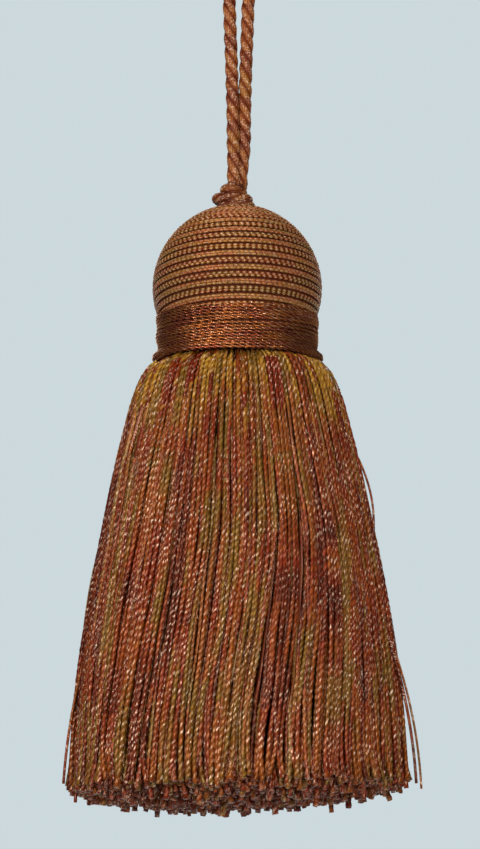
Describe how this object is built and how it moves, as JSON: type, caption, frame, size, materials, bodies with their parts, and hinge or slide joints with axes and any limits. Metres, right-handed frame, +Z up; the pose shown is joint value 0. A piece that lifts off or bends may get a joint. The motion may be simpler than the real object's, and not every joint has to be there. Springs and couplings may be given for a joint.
{
  "type": "key tassel",
  "caption": "Key tassel with a wound ball head, a satin collar and a full skirt of cut variegated yarn, hung by a doubled twisted cord.",
  "frame": {"origin": "the hanging point: the underside of the cord at the top of the loop", "axes": "+Z up along the tassel's axis, -Y is the front, +X to the right seen from the front"},
  "size_m": [0.0715, 0.0675, 0.195],
  "materials": {
    "cord": "lustrous three-ply twisted cord, copper brown with dark red grooves",
    "head_winding": "alternate rows of twisted cord and smooth double gimp, gold, copper and rose brown",
    "satin_thread": "fine satin threads wound round the neck, bright copper where the light strikes",
    "binding": "thin two-ply binding cord, dark copper",
    "skirt_yarn": "lustrous two-ply cut yarn, space-dyed copper, gold, olive, burgundy and maroon"
  },
  "bodies": {
    "root": {"hanging_loop": "cord", "loop_knot": "cord", "head": "head_winding", "collar": "satin_thread", "collar_cord": "binding", "skirt": "skirt_yarn"}
  },
  "joints": []
}
